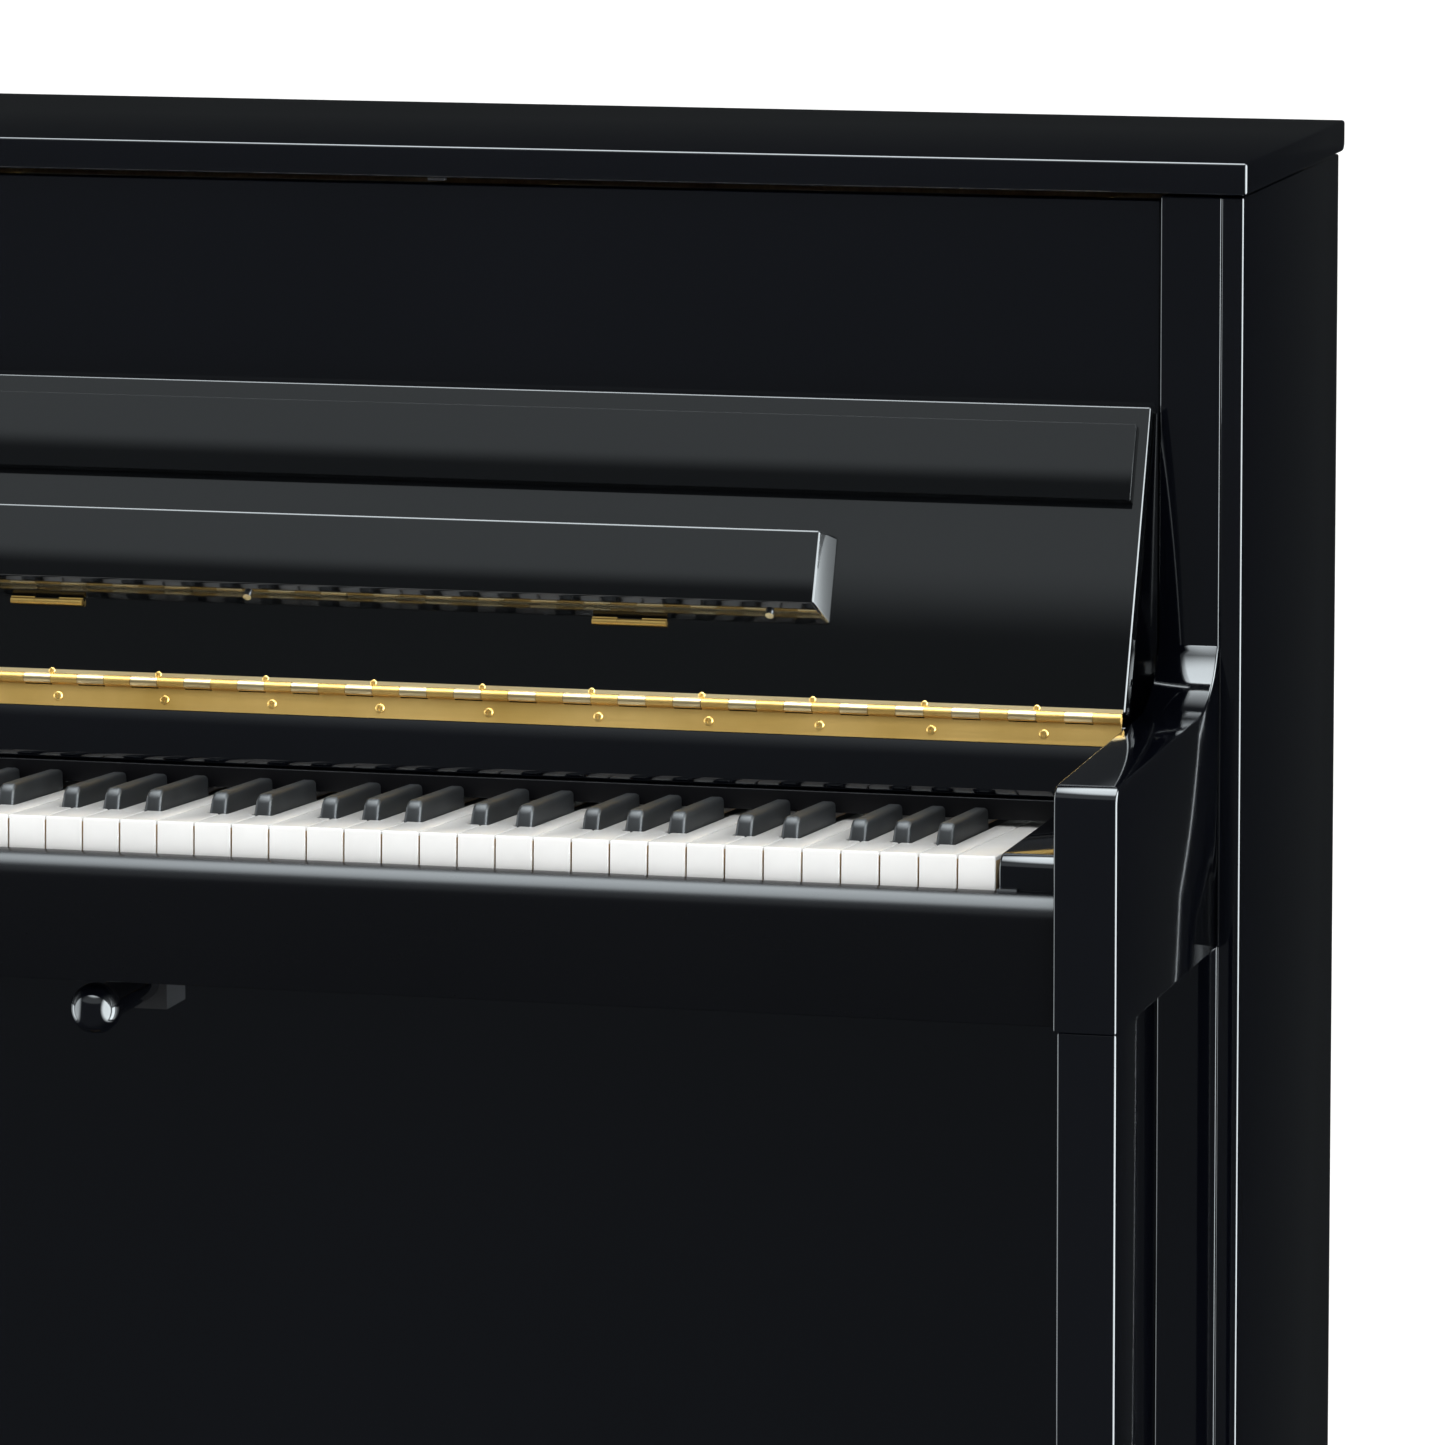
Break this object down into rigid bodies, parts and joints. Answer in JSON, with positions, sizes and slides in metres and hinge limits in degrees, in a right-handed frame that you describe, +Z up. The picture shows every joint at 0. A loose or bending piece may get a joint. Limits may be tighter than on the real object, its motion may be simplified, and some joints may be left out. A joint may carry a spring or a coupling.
{
  "type": "upright piano",
  "caption": "Console upright piano in polished black with an open folding fallboard, music shelf, full keyboard, pedals and a lid that lifts.",
  "frame": {"origin": "middle of the footprint on the floor", "axes": "+X to the player's right, +Y from the player to the back, +Z up"},
  "size_m": [1.49, 0.59, 1.11],
  "materials": {
    "case_polish": "polished black polyester over wood",
    "fallboard_polish": "polished black polyester, seen lighter because it leans back",
    "brass": "satin brass",
    "steel": "bright plated steel",
    "white_key": "smooth white key plastic",
    "sharp_key": "satin black key plastic",
    "back_wood": "planed softwood, clear lacquer",
    "board_wood": "spruce, clear lacquer",
    "hard_wood": "beech, clear lacquer",
    "plate_iron": "gold bronze paint on cast iron",
    "felt_white": "pressed wool felt",
    "felt_red": "red wool felt",
    "wire": "drawn wire",
    "bed_black": "black lacquered board"
  },
  "bodies": {
    "case": {"side_panel_left": "case_polish", "side_panel_right": "case_polish", "arms": "case_polish", "front_stiles": "case_polish", "front_legs": "case_polish", "toe_blocks": "case_polish", "key_slip": "case_polish", "key_blocks": "case_polish", "fallboard_rail": "case_polish", "upper_panel": "case_polish", "lower_panel": "case_polish", "bottom_rail": "case_polish", "name_strip": "case_polish", "lid_hinges": "brass", "long_hinge_lower": "brass", "floor_glides": "steel", "key_block_plates": "steel", "key_pins": "steel", "pedal_bearings": "steel", "back_frame": "back_wood", "bottom_board": "back_wood", "soundboard": "board_wood", "soundboard_ribs": "board_wood", "bridges": "hard_wood", "pin_block": "hard_wood", "iron_plate": "plate_iron", "tuning_pins": "wire", "strings": "wire", "key_bed": "bed_black", "key_frame": "back_wood", "action_frame": "hard_wood"},
    "lid": {"lid": "case_polish", "lid_hinge_leaves": "brass"},
    "fallboard": {"fallboard": "fallboard_polish", "long_hinge_upper": "brass", "lip_hinges": "brass", "shelf_hinges": "brass"},
    "lip": {"fallboard_lip": "fallboard_polish"},
    "music_shelf": {"music_shelf": "fallboard_polish", "shelf_hinge_leaves": "brass", "shelf_bumpers": "steel"},
    "knob": {"pull_knob": "case_polish"},
    "soft_pedal": {"pedal_soft": "brass"},
    "mute_pedal": {"pedal_mute": "brass"},
    "sustain_pedal": {"pedal_sustain": "brass"},
    "hammer_rail": {"hammers": "felt_white"},
    "damper_rail": {"dampers": "felt_white"},
    "mute_strip": {"mute_rail": "felt_red"},
    "keys_c": {"key_c": "white_key"},
    "keys_c_sharp": {"key_c_sharp": "sharp_key"},
    "keys_d": {"key_d": "white_key"},
    "keys_d_sharp": {"key_d_sharp": "sharp_key"},
    "keys_e": {"key_e": "white_key"},
    "keys_f": {"key_f": "white_key"},
    "keys_f_sharp": {"key_f_sharp": "sharp_key"},
    "keys_g": {"key_g": "white_key"},
    "keys_g_sharp": {"key_g_sharp": "sharp_key"},
    "keys_a": {"key_a": "white_key"},
    "keys_a_sharp": {"key_a_sharp": "sharp_key"},
    "keys_b": {"key_b": "white_key"}
  },
  "joints": [
    {"name": "lid_hinge", "type": "hinge", "parent": "case", "child": "lid", "pos_m": [0, 0.2926, 1.0895], "axis": [-1, 0, 0], "range_deg": [0, 95]},
    {"name": "fallboard_hinge", "type": "hinge", "parent": "case", "child": "fallboard", "pos_m": [0, -0.098, 0.782], "axis": [-1, 0, 0], "range_deg": [-120.8, 0]},
    {"name": "lip_hinge", "type": "hinge", "parent": "fallboard", "child": "lip", "pos_m": [0, -0.03245, 0.94857], "axis": [1, 0, 0], "range_deg": [-90, 0]},
    {"name": "music_shelf_hinge", "type": "hinge", "parent": "fallboard", "child": "music_shelf", "pos_m": [0, -0.07971, 0.82746], "axis": [1, 0, 0], "range_deg": [0, 112]},
    {"name": "knob_pull", "type": "slide", "parent": "case", "child": "knob", "axis": [0, -1, 0], "range_m": [0, 0.02]},
    {"name": "soft_pedal_press", "type": "hinge", "parent": "case", "child": "soft_pedal", "pos_m": [0, 0.054, 0.058], "axis": [1, 0, 0], "range_deg": [0, 6], "stiffness_Nm_per_rad": 25, "springref_deg": -8.59},
    {"name": "mute_pedal_press", "type": "hinge", "parent": "case", "child": "mute_pedal", "pos_m": [0, 0.054, 0.058], "axis": [1, 0, 0], "range_deg": [0, 6], "stiffness_Nm_per_rad": 25, "springref_deg": -8.59},
    {"name": "sustain_pedal_press", "type": "hinge", "parent": "case", "child": "sustain_pedal", "pos_m": [0, 0.054, 0.058], "axis": [1, 0, 0], "range_deg": [0, 6], "stiffness_Nm_per_rad": 25, "springref_deg": -8.59},
    {"name": "hammer_rail_tilt", "type": "hinge", "parent": "case", "child": "hammer_rail", "pos_m": [0, 0.106, 0.8], "axis": [-1, 0, 0], "range_deg": [0, 4]},
    {"name": "damper_rail_tilt", "type": "hinge", "parent": "case", "child": "damper_rail", "pos_m": [0, 0.128, 0.78], "axis": [1, 0, 0], "range_deg": [0, 3]},
    {"name": "mute_strip_drop", "type": "slide", "parent": "case", "child": "mute_strip", "axis": [0, 0, -1], "range_m": [0, 0.03]},
    {"name": "key_press_c", "type": "hinge", "parent": "case", "child": "keys_c", "pos_m": [0, -0.062, 0.68847], "axis": [1, 0, 0], "range_deg": [0, 2.87], "stiffness_Nm_per_rad": 30, "springref_deg": -5.73},
    {"name": "key_press_c_sharp", "type": "hinge", "parent": "case", "child": "keys_c_sharp", "pos_m": [0, -0.062, 0.68847], "axis": [1, 0, 0], "range_deg": [0, 2.87], "stiffness_Nm_per_rad": 30, "springref_deg": -5.73},
    {"name": "key_press_d", "type": "hinge", "parent": "case", "child": "keys_d", "pos_m": [0, -0.062, 0.68847], "axis": [1, 0, 0], "range_deg": [0, 2.87], "stiffness_Nm_per_rad": 30, "springref_deg": -5.73},
    {"name": "key_press_d_sharp", "type": "hinge", "parent": "case", "child": "keys_d_sharp", "pos_m": [0, -0.062, 0.68847], "axis": [1, 0, 0], "range_deg": [0, 2.87], "stiffness_Nm_per_rad": 30, "springref_deg": -5.73},
    {"name": "key_press_e", "type": "hinge", "parent": "case", "child": "keys_e", "pos_m": [0, -0.062, 0.68847], "axis": [1, 0, 0], "range_deg": [0, 2.87], "stiffness_Nm_per_rad": 30, "springref_deg": -5.73},
    {"name": "key_press_f", "type": "hinge", "parent": "case", "child": "keys_f", "pos_m": [0, -0.062, 0.68847], "axis": [1, 0, 0], "range_deg": [0, 2.87], "stiffness_Nm_per_rad": 30, "springref_deg": -5.73},
    {"name": "key_press_f_sharp", "type": "hinge", "parent": "case", "child": "keys_f_sharp", "pos_m": [0, -0.062, 0.68847], "axis": [1, 0, 0], "range_deg": [0, 2.87], "stiffness_Nm_per_rad": 30, "springref_deg": -5.73},
    {"name": "key_press_g", "type": "hinge", "parent": "case", "child": "keys_g", "pos_m": [0, -0.062, 0.68847], "axis": [1, 0, 0], "range_deg": [0, 2.87], "stiffness_Nm_per_rad": 30, "springref_deg": -5.73},
    {"name": "key_press_g_sharp", "type": "hinge", "parent": "case", "child": "keys_g_sharp", "pos_m": [0, -0.062, 0.68847], "axis": [1, 0, 0], "range_deg": [0, 2.87], "stiffness_Nm_per_rad": 30, "springref_deg": -5.73},
    {"name": "key_press_a", "type": "hinge", "parent": "case", "child": "keys_a", "pos_m": [0, -0.062, 0.68847], "axis": [1, 0, 0], "range_deg": [0, 2.87], "stiffness_Nm_per_rad": 30, "springref_deg": -5.73},
    {"name": "key_press_a_sharp", "type": "hinge", "parent": "case", "child": "keys_a_sharp", "pos_m": [0, -0.062, 0.68847], "axis": [1, 0, 0], "range_deg": [0, 2.87], "stiffness_Nm_per_rad": 30, "springref_deg": -5.73},
    {"name": "key_press_b", "type": "hinge", "parent": "case", "child": "keys_b", "pos_m": [0, -0.062, 0.68847], "axis": [1, 0, 0], "range_deg": [0, 2.87], "stiffness_Nm_per_rad": 30, "springref_deg": -5.73}
  ],
  "couplings": [
    {"joint": "hammer_rail_tilt", "follows": "soft_pedal_press", "ratio": 0.6667},
    {"joint": "damper_rail_tilt", "follows": "sustain_pedal_press", "ratio": 0.5},
    {"joint": "mute_strip_drop", "follows": "mute_pedal_press", "m_per_rad": 0.2855}
  ]
}
